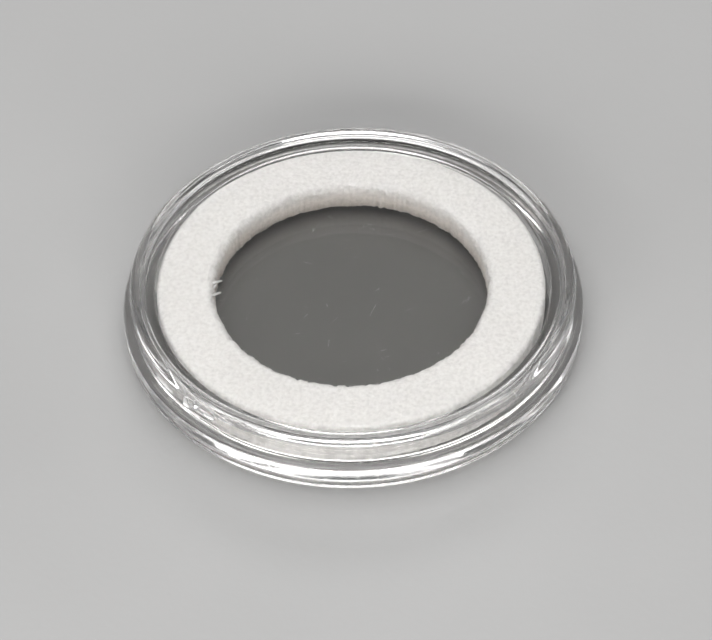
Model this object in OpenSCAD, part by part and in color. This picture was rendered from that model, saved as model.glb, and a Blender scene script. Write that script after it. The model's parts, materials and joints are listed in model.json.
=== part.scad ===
// Round coin capsule, closed, lying on its base. Millimetres, Z up.
// The origin is the centre of the base's underside.
// Three loose pieces: the base shell, the lid shell and the foam ring that holds the coin.

/* [Overall] */
// Outside diameter of the base's flange
capsule_d = 49.5; // [48:0.5:52]
// Height of the closed capsule
capsule_h = 6.2; // [6:0.1:7]

/* [Base shell] */
// Thickness of the flange under the lid's skirt
flange_t = 3.2; // [3:0.1:3.5]
// Width of the ledge that the flange leaves outside the lid
ledge_w = 0.85; // [0.8:0.05:1]
// Thickness of the base's window
floor_t = 1.3; // [1.1:0.05:1.4]
// Depth of the shallow recess under the base's window
foot_rise = 0.3; // [0.2:0.05:0.4]
// Thickness of the wall around the well
well_wall_t = 1.55; // [1.3:0.05:1.7]
// Radius on the flange's upper outer edge
flange_top_radius = 0.6; // [0.4:0.05:0.7]
// Radius on the flange's lower outer edge
flange_foot_radius = 0.8; // [0.5:0.05:0.9]

/* [Lid shell] */
// Thickness of the lid's window
window_t = 1.05; // [0.9:0.05:1.1]
// Height of the rim above the lid's window
rim_rise = 0.35; // [0.25:0.05:0.4]
// Thickness of the skirt that slides over the well's wall
skirt_t = 1.1; // [1:0.05:1.3]
// Radius on the rim's outer edge
rim_radius = 0.75; // [0.6:0.05:0.8]
// Radius of the hollow curve from the window up to the rim
hollow_radius = 1.2; // [1:0.1:1.4]
// Radius of the rim's inner edge
crest_radius = 0.4; // [0.3:0.05:0.5]
// Radial clearance between the skirt and the well's wall
fit_gap = 0.05; // [0.03:0.01:0.08]
// Length of the flat on the lid's side where its moulding gate was trimmed
gate_flat_w = 6.5; // [5:0.1:8]
// Direction of that flat, anticlockwise from +X
gate_angle = 229.5; // [0:0.5:360]

/* [Foam ring] */
// Diameter of the hole that grips the coin
coin_hole_d = 29.3; // [24:0.1:34]
// Thickness of the foam ring
ring_t = 3.15; // [2.9:0.05:3.15]
// Radial gap between the foam ring and the well's wall
ring_gap = 0.3; // [0.25:0.05:0.4]
// Radius of the foam ring's soft edges
ring_edge_radius = 0.5; // [0.3:0.05:0.7]

/* [Hidden] */
$fn = 180;

// Gap between faces that rest on each other
rest_gap = 0.02;
// Small radius on moulded edges that aren't driven above
moulded_edge = 0.15;
// Lead-in radius on the wall's top, where the lid's skirt starts over it
lead_in = 0.25;
// Flat land between the lid's rim crest and its outer edge's radius
rim_land = 0.15;
// Flat land between the base's foot crest and its outer edge's radius
foot_land = 0.6;
// How far a cutting block reaches past the piece that it trims
overcut = 1;

flange_r = capsule_d / 2;
lid_r = flange_r - ledge_w;
skirt_r = lid_r - skirt_t;
well_outer_r = skirt_r - fit_gap;
well_r = well_outer_r - well_wall_t;
ring_r = well_r - ring_gap;

floor_z = foot_rise + floor_t;
window_z = capsule_h - rim_rise;
ceiling_z = window_z - window_t;
wall_top_z = ceiling_z - 2 * rest_gap;
skirt_foot_z = flange_t + rest_gap;
ring_z = floor_z + rest_gap;

// Radii at which the two crests begin: the lid's rim and the base's foot
rim_crest_r = lid_r - rim_radius - rim_land;
foot_crest_r = flange_r - flange_foot_radius - foot_land;

clear_acrylic = [0.93, 0.95, 0.96, 0.35];
white_foam = [0.94, 0.94, 0.92];

// A bar of the half section, from r0 to r1 and z0 to z1
module bar(r0, r1, z0, z1) {
    translate([r0, z0])
        square([r1 - r0, z1 - z0]);
}

// What lies between a square corner and its round: taken off an edge, or added in a nook.
// The signs out and up say which way the corner points.
module corner(r, z, radius, out, up) {
    translate([r - out * radius, z - up * radius])
        difference() {
            translate([out > 0 ? 0 : -2 * radius, up > 0 ? 0 : -2 * radius])
                square(2 * radius);
            circle(r = radius);
        }
}

// The hollow curve from a window at z = 0 up to a crest that begins at crest_r
module crest_curve(crest_r, rise, depth) {
    reach = hollow_radius + crest_radius;
    start_r = crest_r - reach * sin(acos(1 - rise / reach));
    difference() {
        polygon([
            [start_r, -depth],
            [crest_r, -depth],
            [crest_r, rise - crest_radius],
            [start_r, hollow_radius]
        ]);
        translate([start_r, hollow_radius])
            circle(r = hollow_radius);
    }
    translate([crest_r, rise - crest_radius])
        circle(r = crest_radius);
}

module base_section() {
    difference() {
        union() {
            bar(0, foot_crest_r, foot_rise, floor_z);
            bar(foot_crest_r, flange_r, 0, floor_z);
            bar(well_r, flange_r, foot_rise, flange_t);
            bar(well_r, well_outer_r, foot_rise, wall_top_z);
            translate([0, foot_rise])
                mirror([0, 1])
                    crest_curve(foot_crest_r, foot_rise, floor_t / 2);
            corner(well_r, floor_z, moulded_edge, 1, -1);
        }
        corner(flange_r, flange_t, flange_top_radius, 1, 1);
        corner(flange_r, 0, flange_foot_radius, 1, -1);
        corner(well_outer_r, wall_top_z, lead_in, 1, 1);
        corner(well_r, wall_top_z, moulded_edge, -1, 1);
    }
}

module lid_section() {
    difference() {
        union() {
            bar(0, rim_crest_r, ceiling_z, window_z);
            bar(rim_crest_r, lid_r, ceiling_z, capsule_h);
            bar(skirt_r, lid_r, skirt_foot_z, window_z);
            translate([0, window_z])
                crest_curve(rim_crest_r, rim_rise, window_t / 2);
            corner(skirt_r, ceiling_z, moulded_edge, 1, 1);
        }
        corner(lid_r, capsule_h, rim_radius, 1, 1);
        corner(lid_r, skirt_foot_z, moulded_edge, 1, -1);
        corner(skirt_r, skirt_foot_z, moulded_edge, -1, -1);
    }
}

module ring_section() {
    hole_r = coin_hole_d / 2;
    ring_top_z = ring_z + ring_t;
    difference() {
        bar(hole_r, ring_r, ring_z, ring_top_z);
        corner(hole_r, ring_z, ring_edge_radius, -1, -1);
        corner(ring_r, ring_z, ring_edge_radius, 1, -1);
        corner(ring_r, ring_top_z, ring_edge_radius, 1, 1);
        corner(hole_r, ring_top_z, ring_edge_radius, -1, 1);
    }
}

module base_shell() {
    color(clear_acrylic)
        rotate_extrude()
            base_section();
}

// What trimming the gate takes off the lid's side
module gate_trim() {
    half_w = gate_flat_w / 2;
    flat_r = sqrt(pow(lid_r, 2) - pow(half_w, 2));
    block_h = capsule_h - skirt_foot_z + 2 * overcut;
    rotate([0, 0, gate_angle])
        translate([flat_r, -half_w - overcut, skirt_foot_z - overcut])
            cube([overcut, gate_flat_w + 2 * overcut, block_h]);
}

module lid_shell() {
    color(clear_acrylic)
        difference() {
            rotate_extrude()
                lid_section();
            gate_trim();
        }
}

module foam_ring() {
    color(white_foam)
        rotate_extrude()
            ring_section();
}

base_shell();
lid_shell();
foam_ring();
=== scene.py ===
import json
import math
import random

import bpy
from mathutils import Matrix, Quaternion, Vector, noise


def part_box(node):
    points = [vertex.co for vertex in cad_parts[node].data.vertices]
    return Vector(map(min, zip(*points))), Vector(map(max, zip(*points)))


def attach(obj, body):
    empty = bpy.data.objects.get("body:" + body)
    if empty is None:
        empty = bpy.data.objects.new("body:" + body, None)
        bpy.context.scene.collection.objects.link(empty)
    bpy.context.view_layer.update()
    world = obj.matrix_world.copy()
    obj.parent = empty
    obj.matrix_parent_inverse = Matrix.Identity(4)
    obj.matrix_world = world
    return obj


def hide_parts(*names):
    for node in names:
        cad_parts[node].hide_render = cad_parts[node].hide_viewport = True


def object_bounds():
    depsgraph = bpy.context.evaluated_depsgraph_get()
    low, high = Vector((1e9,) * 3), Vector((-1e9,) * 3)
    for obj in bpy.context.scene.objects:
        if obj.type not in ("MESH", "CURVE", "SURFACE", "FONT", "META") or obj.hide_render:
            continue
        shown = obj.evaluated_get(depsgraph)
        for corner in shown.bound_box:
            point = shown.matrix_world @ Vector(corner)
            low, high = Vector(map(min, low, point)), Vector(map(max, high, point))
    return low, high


# A closed coin capsule in a plain pale studio: two clear acrylic shells and the foam ring between them.
# Lengths are in metres, in the CAD's frame, and the capsule stands on z = 0.

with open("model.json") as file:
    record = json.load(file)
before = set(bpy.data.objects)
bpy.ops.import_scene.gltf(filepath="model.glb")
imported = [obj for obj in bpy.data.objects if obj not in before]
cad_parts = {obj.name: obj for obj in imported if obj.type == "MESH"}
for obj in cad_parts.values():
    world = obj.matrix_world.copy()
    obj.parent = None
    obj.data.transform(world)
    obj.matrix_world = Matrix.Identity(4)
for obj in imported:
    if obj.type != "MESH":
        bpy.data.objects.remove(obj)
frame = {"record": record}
CAD_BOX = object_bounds()

MM = 0.001
SEED = 7
rng = random.Random(SEED)

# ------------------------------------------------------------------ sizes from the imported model
low, high = CAD_BOX
R_FLANGE = (high[0] - low[0]) / 2
HEIGHT = high[2]
RING_LOW, RING_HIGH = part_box("foam_ring")
BASE_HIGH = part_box("base_shell")[1]
LID_LOW, LID_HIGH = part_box("lid_shell")
MOUNTS = {m["name"]: m for m in frame["record"]["mounts"]}
HOLE_R = MOUNTS["coin_hole"]["dims"]["r_mm"] * MM

# ------------------------------------------------------------------ the moulded shells
# Their sections, as the CAD has them
FLANGE_TOP_RADIUS, FLANGE_FOOT_RADIUS = 0.6 * MM, 0.8 * MM
RIM_RADIUS, HOLLOW_RADIUS, CREST_RADIUS = 0.75 * MM, 1.2 * MM, 0.4 * MM
MOULDED_EDGE, LEAD_IN = 0.15 * MM, 0.25 * MM
RIM_LAND, FOOT_LAND = 0.15 * MM, 0.6 * MM
RIM_RISE, WINDOW_T, FOOT_RISE = 0.35 * MM, 1.05 * MM, 0.3 * MM
SKIRT_T, WELL_WALL_T = 1.1 * MM, 1.55 * MM
REST_GAP, FIT_GAP = 0.02 * MM, 0.05 * MM
LID_SKIRT_R = LID_HIGH[0] - SKIRT_T

# How finely they are meshed
TURN_STEP = 0.5  # degrees between a shell's meridians
SMALL_ARC = 0.3 * MM  # a radius below this takes SMALL_ARC_STEPS
SMALL_ARC_STEPS, ARC_STEPS = 8, 16
HOLLOW_STEPS, CREST_STEPS = 12, 8
BASE_RING_GAP, LID_RING_GAP = 0.2 * MM, 0.06 * MM  # between the rings on a straight side
WIDE_SIDE, WIDE_RING_GAP = 3 * MM, 2 * MM  # a side that spans more radius than this has its own gap
EDGE_RING = 0.03 * MM  # how close to each end of a straight side its first and last rings are
SHARP_ANGLE = 60  # degrees: an edge that turns more than this stays sharp

# The mould's waviness: noise cells per metre, and the height of each kind of wave
SLOW_WAVES, SLOW_HEIGHT = 110, 0.014 * MM
QUICK_WAVES, QUICK_HEIGHT = 400, 0.0006 * MM
LID_WAVES = Vector((0.01, 0, 0))  # sets the lid's waves apart from the base's
WAVY_FROM_Z = 0.1 * MM  # the base's foot stays true below this
WAVY_BESIDE_RIM = 2 * MM  # how far in from the lid's rim crest the waves begin
FACES_AXIS, FACES_DOWN = -0.2, -0.3  # a lid surface whose normal leans past these stays true

# The flat on the lid's side where its moulding gate was trimmed, and the oval scar on that flat
GATE_AZIMUTH = math.radians(229.5)
GATE_FLAT_W = 6.5 * MM
GATE_FLAT_R = math.sqrt(LID_HIGH[0] ** 2 - (GATE_FLAT_W / 2) ** 2)
GATE_REACH, GATE_FINER = math.radians(9), 4  # meridians within this of the gate are this much closer
SCAR_HALF_LENGTH, SCAR_HALF_HEIGHT = 1.7 * MM, 0.62 * MM
SCAR_ALONG, SCAR_Z = -0.5 * MM, 5.1 * MM
SCAR_DEPTH, SCAR_LIP = 0.28 * MM, 0.05 * MM
SCAR_WALL = 0.4  # the part of the oval's half axes that its sloping wall takes
LIP_AT, LIP_WIDTH = 1.12, 0.12  # where the lip's crest is and how wide it is, in half axes

# ------------------------------------------------------------------ the foam ring
RING_SHIFT = Vector((-0.2 * MM, 0.12 * MM, 0))  # it lies a little off centre in its well
HOLE_SOFT, OUTER_SOFT = 0.8 * MM, 0.5 * MM  # radii of its upper edges: at the hole and outside
RING_SOFT = 0.35 * MM  # radius of its lower edges
FOAM_MERIDIANS = 1080
CORNER_STEPS = [6, 8, 12, 6]  # round its lower outer, upper outer, upper hole and lower hole edges
SIDE_STEPS = [14, 34, 12, 20]  # along its outer side, top, hole and underside

# The ragged cut: how far it strays, how far from the hole that shows, and how oval it is from front to back
CUT_WANDER, CUT_REACH = 0.16 * MM, 1.2 * MM
CUT_OVAL = 0.18 * MM
CUT_SLOW, CUT_QUICK, CUT_SLOW_WEIGHT = 700, 2100, 0.6  # noise cells per metre, and the slow noise's weight

# The foam's uneven skin: the depth that it may take, noise cells per metre, and the weights of its parts
FOAM_SKIN = 0.05 * MM
COARSE_CELLS, FINE_CELLS, FINER_CELLS = 900, 2600, 5200
SKIN_FINE, SKIN_SUNK, SKIN_TOP = 0.8, 0.2, 0.9
SIDE_FINE, SIDE_COARSE = 0.8, 0.6
TORN_FINE, TORN_COARSE, TORN_SUNK = 0.6, 0.8, 0.4
TORN_DEPTH, OUTER_TORN = 2.2, 0.5
EDGE_GAIN = 2.2  # how soon an edge's curve counts as edge
# The outer side's blotches also darken it as painted shade. This sets how far that reaches round its edges.
OUTER_FADE = 2.5  # how fast the outer side's blotches fade round its edges

# Fibres torn as the hole was cut: azimuth, place up the wall, swing, length and width
TORN_FIBRES = [
    (176.6, 0.90, 0.1, 0.8, 0.26),
    (178.0, 0.93, 0.5, 1.2, 0.34),
    (180.4, 0.88, 1.1, 0.9, 0.34),
    (184.4, 0.90, 0.4, 1.1, 0.36),
]
FIBRE_ROOT = 0.12 * MM  # how deep in the wall they start
FIBRE_RISE, FIBRE_DROOP, FIBRE_TAPER = 0.15, 0.2, 0.35
FIBRE_STEPS, FIBRE_SIDES = 7, 6

# Short fuzz: its count, and how much of it is on the hole's upper edge and on its wall; the rest is on top
FUZZ_COUNT = 3200
EDGE_SHARE, WALL_SHARE = 0.55, 0.20
FUZZ_LENGTH, FUZZ_WIDTH = (0.14, 0.34), (0.025, 0.05)  # in millimetres
FUZZ_STRAY, FUZZ_DROOP = 0.8, 0.1
FUZZ_TILT = 1.1  # radians: how far up the hole's upper edge it grows
EDGE_RISE, MOST_RISE, TOP_RISE = 0.5, 0.25, 0.05  # how much it points up
EDGE_ROOT, WALL_ROOT, TOP_ROOT = 0.1 * MM, 0.07 * MM, 0.06 * MM  # how deep its roots are
WALL_FOOT, TOP_MARGIN = 0.2 * MM, 0.6 * MM  # left bare at the wall's foot and inside the outer edge

# ------------------------------------------------------------------ looks (cells are noise cells per metre)
ACRYLIC_COLOUR, ACRYLIC_IOR = (0.99, 0.983, 0.975), 1.49
POLISHED, SCRATCHED = 0.02, 0.3  # roughness
SCRATCH_CELLS, SCRATCH_WIDTH = 260.0, 0.01
PATCH_CELLS = 700.0
FOAM_SCATTER = 0.0016  # how far light travels in the foam, the same for every colour
FOAM_CELLS, FOAM_BUMP_DEPTH = 2300.0, 0.00008
BLOTCH_CELLS = 900.0
CLOUD_CELLS, FLOOR_GRAIN_CELLS, FLOOR_BUMP_DEPTH = 18.0, 1200.0, 0.0001


# ------------------------------------------------------------------ materials
def new_material(name):
    mat = bpy.data.materials.new(name)
    mat.use_nodes = True
    nodes, links = mat.node_tree.nodes, mat.node_tree.links
    return mat, nodes, links, nodes["Principled BSDF"]


def grey(v):
    return (v, v, v, 1.0)


def rgb(r, g, b):
    return (r, g, b, 1.0)


def ramp(nodes, links, source, stops):
    """A colour ramp through (place, colour) stops."""
    node = nodes.new("ShaderNodeValToRGB")
    ends = node.color_ramp.elements
    ends[0].position, ends[0].color = stops[0]
    ends[1].position, ends[1].color = stops[-1]
    for place, colour in stops[1:-1]:
        ends.new(place).color = colour
    links.new(source, node.inputs["Fac"])
    return node.outputs["Color"]


def noise_node(nodes, links, vector, scale, detail=2.0, rough=0.5):
    node = nodes.new("ShaderNodeTexNoise")
    node.inputs["Scale"].default_value = scale
    node.inputs["Detail"].default_value = detail
    node.inputs["Roughness"].default_value = rough
    links.new(vector, node.inputs["Vector"])
    return node.outputs["Fac"]


def map_range(nodes, links, source, to_min, to_max):
    node = nodes.new("ShaderNodeMapRange")
    node.inputs["To Min"].default_value = to_min
    node.inputs["To Max"].default_value = to_max
    links.new(source, node.inputs["Value"])
    return node.outputs["Result"]


def multiply(nodes, links, a, b):
    node = nodes.new("ShaderNodeMath")
    node.operation = "MULTIPLY"
    links.new(a, node.inputs[0])
    links.new(b, node.inputs[1])
    return node.outputs[0]


def tint(nodes, links, factor, a, b):
    """Colour a multiplied by colour b, as far as factor (a number or a socket) says."""
    node = nodes.new("ShaderNodeMix")
    node.data_type, node.blend_type = "RGBA", "MULTIPLY"
    if isinstance(factor, float):
        node.inputs["Factor"].default_value = factor
    else:
        links.new(factor, node.inputs["Factor"])
    links.new(a, node.inputs["A"])
    links.new(b, node.inputs["B"])
    return node.outputs["Result"]


def attribute(nodes, name):
    """A value that a mesh carries at its points."""
    node = nodes.new("ShaderNodeAttribute")
    node.attribute_name = name
    return node.outputs["Fac"]


def bump(nodes, links, shader, height, strength, distance):
    node = nodes.new("ShaderNodeBump")
    node.inputs["Strength"].default_value = strength
    node.inputs["Distance"].default_value = distance
    links.new(height, node.inputs["Height"])
    links.new(node.outputs["Normal"], shader.inputs["Normal"])


def acrylic(name, offset):
    """Clear polished acrylic with patches of hairline scratches, which offset moves about."""
    mat, nodes, links, shader = new_material(name)
    shader.inputs["Base Color"].default_value = rgb(*ACRYLIC_COLOUR)
    shader.inputs["Transmission Weight"].default_value = 1.0
    shader.inputs["IOR"].default_value = ACRYLIC_IOR
    coords = nodes.new("ShaderNodeTexCoord")
    place = nodes.new("ShaderNodeMapping")
    place.inputs["Location"].default_value = (offset, 0.7 * offset, 0.0)
    links.new(coords.outputs["Object"], place.inputs["Vector"])
    vector = place.outputs["Vector"]

    cells = nodes.new("ShaderNodeTexVoronoi")
    cells.feature = "DISTANCE_TO_EDGE"
    cells.inputs["Scale"].default_value = SCRATCH_CELLS
    links.new(vector, cells.inputs["Vector"])
    hair = ramp(nodes, links, cells.outputs["Distance"], [(0.0, grey(1.0)), (SCRATCH_WIDTH, grey(0.0))])
    clouds = noise_node(nodes, links, vector, PATCH_CELLS, detail=1.0)
    patch = ramp(nodes, links, clouds, [(0.6, grey(0.0)), (0.7, grey(1.0))])
    scratch = multiply(nodes, links, hair, patch)
    rough = map_range(nodes, links, scratch, to_min=POLISHED, to_max=SCRATCHED)
    links.new(rough, shader.inputs["Roughness"])
    return mat


def felt_foam(name):
    """White foam: fine lighter and darker cells, painted shade that darkens and warms the wall of its hole
    towards the foot, and random blotches on its outer side that also darken it as painted shade.
    """
    mat, nodes, links, shader = new_material(name)
    shader.inputs["Subsurface Weight"].default_value = 1.0
    shader.inputs["Subsurface Radius"].default_value = (FOAM_SCATTER, FOAM_SCATTER, FOAM_SCATTER)
    shader.inputs["Subsurface Scale"].default_value = 1.0
    shader.inputs["Sheen Weight"].default_value = 0.1
    shader.inputs["Sheen Roughness"].default_value = 0.6
    coords = nodes.new("ShaderNodeTexCoord")
    vector = coords.outputs["Object"]

    cells = noise_node(nodes, links, vector, FOAM_CELLS, detail=4.0, rough=0.65)
    grain = ramp(nodes, links, cells, [
        (0.36, rgb(0.79, 0.78, 0.76)),
        (0.50, rgb(0.875, 0.865, 0.845)),
        (0.64, rgb(0.93, 0.922, 0.905)),
    ])
    # Painted shade: the hole's wall gets darker and warmer towards its foot, standing in for the shade down
    # in the hole.
    painted_shade_colour = ramp(nodes, links, attribute(nodes, "hole_wall_painted_shade"), [
        (0.0, grey(1.0)),
        (0.5, rgb(1.0, 0.955, 0.915)),
        (1.0, rgb(0.66, 0.59, 0.535)),
    ])
    # The foam's grain, darkened on the hole's wall by the painted shade.
    grain_with_painted_shade = tint(nodes, links, 1.0, grain, painted_shade_colour)
    # Random blotches on the outer side, which also darken it and the curve of its top edge as painted shade.
    clouds = noise_node(nodes, links, vector, BLOTCH_CELLS, detail=4.0, rough=0.7)
    blotch_and_painted_shade = ramp(nodes, links, clouds, [(0.42, grey(0.78)), (0.58, grey(1.0))])
    side = attribute(nodes, "outer_side")
    links.new(tint(nodes, links, side, grain_with_painted_shade, blotch_and_painted_shade), shader.inputs["Base Color"])
    links.new(map_range(nodes, links, cells, to_min=0.75, to_max=1.0), shader.inputs["Roughness"])
    bump(nodes, links, shader, cells, strength=0.4, distance=FOAM_BUMP_DEPTH)
    return mat


def pale_floor(name):
    """A plain pale matt floor, with faint clouds and a fine grain."""
    mat, nodes, links, shader = new_material(name)
    coords = nodes.new("ShaderNodeTexCoord")
    vector = coords.outputs["Object"]
    cloud = noise_node(nodes, links, vector, CLOUD_CELLS, detail=3.0)
    shade = ramp(nodes, links, cloud, [(0.3, rgb(0.245, 0.243, 0.240)), (0.7, rgb(0.270, 0.268, 0.265))])
    links.new(shade, shader.inputs["Base Color"])
    links.new(map_range(nodes, links, cloud, to_min=0.5, to_max=0.65), shader.inputs["Roughness"])
    grain = noise_node(nodes, links, vector, FLOOR_GRAIN_CELLS, detail=3.0)
    bump(nodes, links, shader, grain, strength=0.15, distance=FLOOR_BUMP_DEPTH)
    return mat


# ------------------------------------------------------------------ meshes
def add_object(name, verts, faces, mat):
    """A smooth object of one material, whose sharper edges stay sharp."""
    mesh = bpy.data.meshes.new(name)
    mesh.from_pydata(verts, [], faces)
    mesh.update()
    mesh.materials.append(mat)
    obj = bpy.data.objects.new(name, mesh)
    bpy.context.scene.collection.objects.link(obj)
    for poly in mesh.polygons:
        poly.use_smooth = True
    mesh.set_sharp_from_angle(angle=math.radians(SHARP_ANGLE))
    return obj


def field(place, cells, offset=(0, 0, 0)):
    """Noise from about -1 to 1, with so many cells per metre; its offset sets it apart from other noise."""
    return noise.noise(place * cells + Vector(offset))


def outward(azimuth):
    """The level unit vector that points away from the axis, at an azimuth in radians."""
    return Vector((math.cos(azimuth), math.sin(azimuth), 0))


def arc(centre, radius, start, sweep, steps):
    """Points of a circular arc in the half section, angles in degrees."""
    points = []
    for i in range(steps + 1):
        a = math.radians(start + sweep * i / steps)
        points.append((centre[0] + radius * math.cos(a), centre[1] + radius * math.sin(a)))
    return points


def rounded(before, corner, after, radius, steps):
    """The arc that rounds a corner between the sides that lead to before and after."""
    c = Vector(corner)
    to_before, to_after = (Vector(before) - c).normalized(), (Vector(after) - c).normalized()
    half_angle = to_before.angle(to_after) / 2
    centre = c + (to_before + to_after).normalized() * (radius / math.sin(half_angle))
    reach = radius / math.tan(half_angle)
    first, last = c + to_before * reach - centre, c + to_after * reach - centre
    start = math.degrees(math.atan2(first.y, first.x))
    sweep = math.degrees(math.atan2(last.y, last.x)) - start
    return arc(centre, radius, start, (sweep + 180) % 360 - 180, steps)


def filleted(corners):
    """An open outline through (r, z, radius) corners, whose inner corners are rounded."""
    points = [corners[0][:2]]
    for i in range(1, len(corners) - 1):
        r, z, radius = corners[i]
        steps = SMALL_ARC_STEPS if radius < SMALL_ARC else ARC_STEPS
        points += rounded(corners[i - 1][:2], (r, z), corners[i + 1][:2], radius, steps)
    points.append(corners[-1][:2])
    return points


def crest_curve(crest_r, window_z, rise):
    """The hollow curve from a window up (or down, for a negative rise) to the crest at crest_r."""
    reach = HOLLOW_RADIUS + CREST_RADIUS
    lean = math.degrees(math.acos(1 - abs(rise) / reach))
    start_r = crest_r - reach * math.sin(math.radians(lean))
    up = math.copysign(1, rise)
    hollow = arc((start_r, HOLLOW_RADIUS), HOLLOW_RADIUS, -90, lean, HOLLOW_STEPS)
    crest = arc((crest_r, abs(rise) - CREST_RADIUS), CREST_RADIUS, 90 + lean, -lean, CREST_STEPS)
    return [(r, window_z + up * z) for r, z in hollow + crest[1:]]


def with_rings(points, spacing):
    """Adds rings along the straight sides: one close to each end, so that shading stays flat between them."""
    out = [points[0]]
    for (r0, z0), (r1, z1) in zip(points, points[1:]):
        length = math.hypot(r1 - r0, z1 - z0)
        if length > 6 * EDGE_RING:
            gap = spacing if max(r0, r1) - min(r0, r1) < WIDE_SIDE else WIDE_RING_GAP
            inner = max(1, round((length - 2 * EDGE_RING) / gap))
            for i in range(inner + 1):
                t = (EDGE_RING + (length - 2 * EDGE_RING) * i / inner) / length
                out.append((r0 + t * (r1 - r0), z0 + t * (z1 - z0)))
        if length > 1e-9:
            out.append((r1, z1))
    return out


def side_normals(points):
    """Outward normals of an anticlockwise outline."""
    normals = []
    for i in range(len(points)):
        before, after = Vector(points[max(i - 1, 0)]), Vector(points[min(i + 1, len(points) - 1)])
        along = (after - before).normalized()
        normals.append((along.y, -along.x))
    return normals


def turned(name, mat, points, angles, skin):
    """Turns a half section from axis to axis; skin(place, normal) says where a point ends up."""
    verts, faces = [], []
    normals = side_normals(points)
    count = len(points) - 2
    for a in angles:
        out = outward(a)
        for (r, z), (nr, nz) in zip(points[1:-1], normals[1:-1]):
            place = out * r + Vector((0, 0, z))
            normal = out * nr + Vector((0, 0, nz))
            verts.append(tuple(skin(place, normal)))
    first, last = len(verts), len(verts) + 1
    verts += [(0, 0, points[0][1]), (0, 0, points[-1][1])]
    for i in range(len(angles)):
        here, following = i * count, (i + 1) % len(angles) * count
        for k in range(count - 1):
            faces.append((here + k, following + k, following + k + 1, here + k + 1))
    for i in range(len(angles)):
        here, following = i * count, (i + 1) % len(angles) * count
        faces.append((first, following, here))
        faces.append((last, here + count - 1, following + count - 1))
    return add_object(name, verts, faces, mat)


def mould_wave(place):
    """How far the moulded surface strays from true, in lazy waves."""
    return SLOW_HEIGHT * field(place, SLOW_WAVES) + QUICK_HEIGHT * field(place, QUICK_WAVES, (3, 1, 0))


def base_shell(mat):
    """The base: a window in a shallow recess, a flange with rounded edges, and the wall round the well."""
    crest_r = R_FLANGE - FLANGE_FOOT_RADIUS - FOOT_LAND
    ledge_z = LID_LOW[2] - REST_GAP
    wall_r, top_z = LID_SKIRT_R - FIT_GAP, BASE_HIGH[2]
    well_r, floor_z = wall_r - WELL_WALL_T, RING_LOW[2] - REST_GAP
    below = [(0, FOOT_RISE)] + crest_curve(crest_r, FOOT_RISE, -FOOT_RISE)
    above = filleted([
        (crest_r, 0, 0),
        (R_FLANGE, 0, FLANGE_FOOT_RADIUS),
        (R_FLANGE, ledge_z, FLANGE_TOP_RADIUS),
        (wall_r, ledge_z, 0),
        (wall_r, top_z, LEAD_IN),
        (well_r, top_z, MOULDED_EDGE),
        (well_r, floor_z, MOULDED_EDGE),
        (0, floor_z, 0),
    ])

    def skin(place, normal):
        exposed = place.xy.length > LID_HIGH[0] and place.z > WAVY_FROM_Z
        return place + normal * mould_wave(place) if exposed else place

    angles = [math.radians(TURN_STEP * i) for i in range(round(360 / TURN_STEP))]
    return turned("base_shell_clear", mat, with_rings(below + above[1:], BASE_RING_GAP), angles, skin)


def scar_height(far):
    """The gate scar's height on its flat: a flat-bottomed oval pit, its edge at far = 1, in a low lip."""
    down = min(1.0, max(0.0, (1 - far) / SCAR_WALL))
    pit = down * down * (3 - 2 * down)
    lip = math.exp(-((far - LIP_AT) / LIP_WIDTH) ** 2)
    return SCAR_LIP * lip - SCAR_DEPTH * pit


def lid_angles():
    """The lid's meridians, closer together around its gate."""
    angles = []
    for i in range(round(360 / TURN_STEP)):
        a = math.radians(TURN_STEP * i)
        angles.append(a)
        if abs((a - GATE_AZIMUTH + math.pi) % (2 * math.pi) - math.pi) < GATE_REACH:
            angles += [a + math.radians(TURN_STEP * k / GATE_FINER) for k in range(1, GATE_FINER)]
    return angles


def lid_shell(mat):
    """The lid: a window inside a raised rounded rim, over the skirt that slides on the base's wall."""
    lid_r, foot_z, top_z = LID_HIGH[0], LID_LOW[2], LID_HIGH[2]
    window_z = top_z - RIM_RISE
    ceiling_z = window_z - WINDOW_T
    crest_r = lid_r - RIM_RADIUS - RIM_LAND
    below = filleted([
        (0, ceiling_z, 0),
        (LID_SKIRT_R, ceiling_z, MOULDED_EDGE),
        (LID_SKIRT_R, foot_z, MOULDED_EDGE),
        (lid_r, foot_z, MOULDED_EDGE),
        (lid_r, top_z, RIM_RADIUS),
        (crest_r, top_z, 0),
    ])
    above = crest_curve(crest_r, window_z, RIM_RISE)[::-1] + [(0, window_z)]
    across = outward(GATE_AZIMUTH)
    along = Vector((-across.y, across.x, 0))

    def skin(place, normal):
        inside = normal.xy.dot(place.xy) <= FACES_AXIS * place.xy.length
        if place.xy.length < crest_r - WAVY_BESIDE_RIM or normal.z < FACES_DOWN or inside:
            return place
        place = place + normal * mould_wave(place + LID_WAVES)
        past = place.dot(across) - GATE_FLAT_R
        if past > 0:
            place -= across * past
            u = (place.dot(along) - SCAR_ALONG) / SCAR_HALF_LENGTH
            v = (place.z - SCAR_Z) / SCAR_HALF_HEIGHT
            place += across * scar_height(math.hypot(u, v))
        return place

    return turned("lid_shell_clear", mat, with_rings(below + above[1:], LID_RING_GAP), lid_angles(), skin)


def round_corner(cx, cz, radius, start, steps):
    """Points of a quarter turn about (cx, cz), anticlockwise from start degrees, with its outward normals."""
    points = []
    for i in range(steps + 1):
        a = math.radians(start + 90 * i / steps)
        points.append((cx + radius * math.cos(a), cz + radius * math.sin(a), math.cos(a), math.sin(a)))
    return points


def between(p, q, steps):
    """Points strictly between p and q on a straight side, sharing p's normal."""
    out = []
    for i in range(1, steps):
        t = i / steps
        out.append((p[0] + t * (q[0] - p[0]), p[1] + t * (q[1] - p[1]), p[2], p[3]))
    return out


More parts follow.
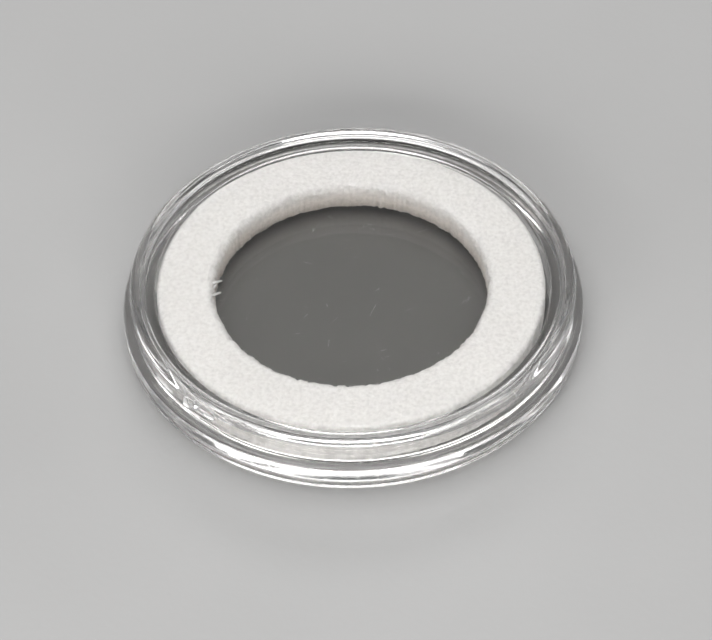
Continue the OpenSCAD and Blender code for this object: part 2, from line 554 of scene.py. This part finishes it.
def ring_profile(r0, r1, z0, z1):
    """Half section of the die-cut ring: the die pulls the hole's upper edge down, so it's the softest."""
    corners = [
        round_corner(r1 - RING_SOFT, z0 + RING_SOFT, RING_SOFT, -90, CORNER_STEPS[0]),
        round_corner(r1 - OUTER_SOFT, z1 - OUTER_SOFT, OUTER_SOFT, 0, CORNER_STEPS[1]),
        round_corner(r0 + HOLE_SOFT, z1 - HOLE_SOFT, HOLE_SOFT, 90, CORNER_STEPS[2]),
        round_corner(r0 + RING_SOFT, z0 + RING_SOFT, RING_SOFT, 180, CORNER_STEPS[3]),
    ]
    points = []
    for i, corner in enumerate(corners):
        points += corner
        points += between(corner[-1], corners[(i + 1) % 4][0], SIDE_STEPS[i])
    return points


def cut_fade(r, r0):
    """How much of the cut's stray shows at radius r: all of it at the hole, and none past CUT_REACH."""
    return max(0.0, 1 - (r - r0) / CUT_REACH)


def cut_shift(azimuth, r, r0):
    """How far the ragged, slightly oval cut pulls the ring's surface towards the axis, fading outwards."""
    rim = outward(azimuth) * r0
    ragged = CUT_SLOW_WEIGHT * field(rim, CUT_SLOW) + field(rim, CUT_QUICK, (0, 0, 0.004))
    return cut_fade(r, r0) * (CUT_WANDER * ragged + CUT_OVAL * math.sin(azimuth) ** 2)


def foam_lift(p, nr, nz):
    """How far the skin stands off the ring's profile at p: fine pits, and torn cells at the hole's edges."""
    fine = field(p, FINE_CELLS) * 0.5 + field(p, FINER_CELLS, (9, 0, 0)) * 0.5
    coarse = field(p, COARSE_CELLS, (0, 5, 0))
    edge = min(1.0, abs(nr * nz) * EDGE_GAIN)
    if nr < 0:
        torn = edge * (TORN_COARSE * coarse + TORN_FINE * fine - TORN_SUNK)
    else:
        torn = OUTER_TORN * edge * fine
    everywhere = SKIN_FINE * fine - SKIN_SUNK + TORN_DEPTH * torn
    sides = abs(nr) * (SIDE_FINE * fine + SIDE_COARSE * coarse)
    return FOAM_SKIN * min(everywhere + sides, SKIN_TOP)


def strand(verts, faces, root, direction, length, width, droop, taper=0.75, steps=3, sides=3):
    """A tapering closed fibre from root, bending down as it goes."""
    side = direction.cross(Vector((0, 0, 1)))
    if side.length < 1e-6:
        side = Vector((1, 0, 0))
    side.normalize()
    over = side.cross(direction).normalized()
    first = len(verts)
    for i in range(steps):
        t = i / steps
        centre = root + direction * (length * t) - Vector((0, 0, droop * length * t * t))
        reach = width / 2 * (1 - taper * t)
        for k in range(sides):
            a = 2 * math.pi * k / sides
            verts.append(tuple(centre + side * (reach * math.cos(a)) + over * (reach * math.sin(a))))
    tip = len(verts)
    verts.append(tuple(root + direction * length - Vector((0, 0, droop * length))))
    for i in range(steps - 1):
        for k in range(sides):
            j = (k + 1) % sides
            a, b = first + i * sides, first + (i + 1) * sides
            faces.append((a + k, a + j, b + j, b + k))
    last = first + (steps - 1) * sides
    for k in range(sides):
        faces.append((last + k, last + (k + 1) % sides, tip))
    faces.append(tuple(first + k for k in reversed(range(sides))))


def torn_fibres(verts, faces, r0, z0, z1):
    """A few torn fibres on the hole's left side."""
    for azimuth, rise, swing, length, width in TORN_FIBRES:
        a = math.radians(azimuth)
        root = outward(a) * (r0 + FIBRE_ROOT - cut_shift(a, r0, r0))
        root.z = z0 + rise * (z1 - z0)
        inward = Vector((-math.cos(a + swing), -math.sin(a + swing), FIBRE_RISE)).normalized()
        strand(verts, faces, root, inward, length * MM, width * MM,
               FIBRE_DROOP, FIBRE_TAPER, FIBRE_STEPS, FIBRE_SIDES)


def fuzz(verts, faces, r0, r1, z0, z1):
    """Short fibres on the hole's upper edge, its wall and the ring's top."""
    for _ in range(FUZZ_COUNT):
        a = rng.uniform(0, 2 * math.pi)
        where = rng.random()
        on_top = where >= EDGE_SHARE + WALL_SHARE
        out = outward(a)
        stray = Vector((rng.uniform(-FUZZ_STRAY, FUZZ_STRAY), rng.uniform(-FUZZ_STRAY, FUZZ_STRAY), 0))
        length = rng.uniform(*FUZZ_LENGTH) * MM
        if where < EDGE_SHARE:
            tilt = rng.uniform(0.0, FUZZ_TILT)
            bend = HOLE_SOFT - EDGE_ROOT
            away = -out * math.cos(tilt) + Vector((0, 0, EDGE_RISE * math.sin(tilt)))
            r = r0 + HOLE_SOFT - bend * math.cos(tilt)
            z = z1 - HOLE_SOFT + bend * math.sin(tilt)
            root = out * (r - cut_shift(a, r, r0)) + Vector((0, 0, z))
        elif on_top:
            away = Vector((0, 0, 0))
            root = out * rng.uniform(r0 + HOLE_SOFT, r1 - TOP_MARGIN) + Vector((0, 0, z1 - TOP_ROOT))
        else:
            away = -out
            r = r0 + WALL_ROOT
            z = rng.uniform(z0 + WALL_FOOT, z1 - HOLE_SOFT)
            root = out * (r - cut_shift(a, r, r0)) + Vector((0, 0, z))
        away = (away + stray).normalized()
        away.z = TOP_RISE if on_top else min(away.z, MOST_RISE)
        width = rng.uniform(*FUZZ_WIDTH) * MM
        strand(verts, faces, root, away.normalized(), length, width, FUZZ_DROOP)


def foam_ring(mat):
    """The felted ring, with a fine uneven skin, a ragged die-cut hole, torn fibres and fuzz."""
    r0, r1 = HOLE_R + FOAM_SKIN, (RING_HIGH[0] - RING_LOW[0]) / 2 - FOAM_SKIN
    z0, z1 = RING_LOW[2] + FOAM_SKIN, RING_HIGH[2] - FOAM_SKIN
    profile = ring_profile(r0, r1, z0, z1)
    count = len(profile)
    verts, faces, hole_wall_painted_shade, outer_side = [], [], [], []
    for i in range(FOAM_MERIDIANS):
        a = 2 * math.pi * i / FOAM_MERIDIANS
        ca, sa = math.cos(a), math.sin(a)
        wander = cut_shift(a, r0, r0)
        for r, z, nr, nz in profile:
            depth = max(0.0, min(1.0, (z1 - z) / (z1 - z0)))
            # Painted shade on the hole's wall, heavier the further below the ring's top.
            hole_wall_painted_shade.append(max(0.0, -nr) * depth)
            # The outer side's blotches and painted shade, fading round its edges.
            outer_side.append(max(0.0, nr) ** OUTER_FADE)
            lift = foam_lift(Vector((r * ca, r * sa, z)), nr, nz)
            r += nr * lift - wander * cut_fade(r, r0)
            verts.append((r * ca, r * sa, z + nz * lift))
    for i in range(FOAM_MERIDIANS):
        j = (i + 1) % FOAM_MERIDIANS
        for k in range(count):
            m = (k + 1) % count
            faces.append((i * count + k, j * count + k, j * count + m, i * count + m))
    torn_fibres(verts, faces, r0, z0, z1)
    fuzz(verts, faces, r0, r1, z0, z1)
    ring = add_object("foam_ring_felt", verts, faces, mat)
    # Per point: how much painted shade the hole's wall takes, and how much of the outer side's blotches and
    # painted shade.
    for label, values in (("hole_wall_painted_shade", hole_wall_painted_shade), ("outer_side", outer_side)):
        shade = ring.data.attributes.new(label, "FLOAT", "POINT")
        shade.data.foreach_set("value", values + [0.0] * (len(verts) - len(values)))
    return ring


# ------------------------------------------------------------------ the object
base = base_shell(acrylic("acrylic_base", 0.0))
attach(base, "base")
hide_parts("base_shell")

lid = lid_shell(acrylic("acrylic_lid", 0.31))
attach(lid, "lid")
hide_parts("lid_shell")

ring = foam_ring(felt_foam("foam_felt"))
ring.location = RING_SHIFT
bpy.context.view_layer.update()
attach(ring, "ring")
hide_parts("foam_ring")

# ------------------------------------------------------------------ the studio
FLOOR_HALF = 1.5
FLOOR_GAP = 0.02 * MM  # keeps the floor and the base's foot from lying in one plane
floor_verts = [(FLOOR_HALF * x, FLOOR_HALF * y, 0) for x, y in ((-1, -1), (1, -1), (1, 1), (-1, 1))]
floor = add_object("floor", floor_verts, [(0, 1, 2, 3)], pale_floor("pale_floor"))
floor.location.z = -FLOOR_GAP


def softbox(name, place, width, height, watts):
    """A soft rectangular light that faces the capsule."""
    light = bpy.data.lights.new(name, "AREA")
    light.shape = "RECTANGLE"
    light.size, light.size_y, light.energy = width, height, watts
    obj = bpy.data.objects.new(name, light)
    obj.location = place
    obj.rotation_euler = (-Vector(place)).to_track_quat("-Z", "Y").to_euler()
    obj.visible_camera = False
    bpy.context.scene.collection.objects.link(obj)


softbox("key_overhead", (-0.03, 0.10, 0.52), width=0.70, height=0.50, watts=3.55)
softbox("low_rear", (0.02, 0.47, 0.27), width=0.34, height=0.10, watts=0.8)
softbox("front_fill", (-0.06, -0.47, 0.165), width=0.70, height=0.20, watts=6.6)

world = bpy.data.worlds.new("studio")
bpy.context.scene.world = world
world.use_nodes = True
background = world.node_tree.nodes["Background"]
background.inputs["Color"].default_value = rgb(0.97, 0.98, 1.0)
background.inputs["Strength"].default_value = 0.12

# ------------------------------------------------------------------ the camera
ELEVATION = math.radians(46.2)
ROLL = math.radians(-1.75)
DISTANCE = 12 * R_FLANGE
SENSOR_MM, LENS_MM = 36, 138.883
CLIP_START = 0.01
MIDDLE = Vector((0, 0, 0.274 * HEIGHT))
# The camera looks a little to the right of the capsule's middle, and below it
TURN_RIGHT, TURN_DOWN = math.radians(0.05423), math.radians(0.3108)

back = Vector((0, -math.cos(ELEVATION), math.sin(ELEVATION)))
camera = bpy.data.objects.new("camera", bpy.data.cameras.new("camera"))
bpy.context.scene.collection.objects.link(camera)
camera.location = MIDDLE + back * DISTANCE
look = (-back).to_track_quat("-Z", "Y") @ Quaternion((0, 0, 1), ROLL)
turn = Quaternion((0, 1, 0), -TURN_RIGHT) @ Quaternion((1, 0, 0), -TURN_DOWN)
camera.rotation_mode = "QUATERNION"
camera.rotation_quaternion = look @ turn
camera.data.sensor_width = SENSOR_MM
camera.data.lens = LENS_MM
camera.data.clip_start = CLIP_START
bpy.context.scene.camera = camera

# Light crosses the clear shells, and is reflected inside them, many times before it comes out
BOUNCES, TRANSPARENT_BOUNCES = 64, 16
scene = bpy.context.scene
scene.view_settings.view_transform = "Standard"
scene.cycles.max_bounces = BOUNCES
scene.cycles.transmission_bounces = BOUNCES
scene.cycles.glossy_bounces = BOUNCES
scene.cycles.transparent_max_bounces = TRANSPARENT_BOUNCES
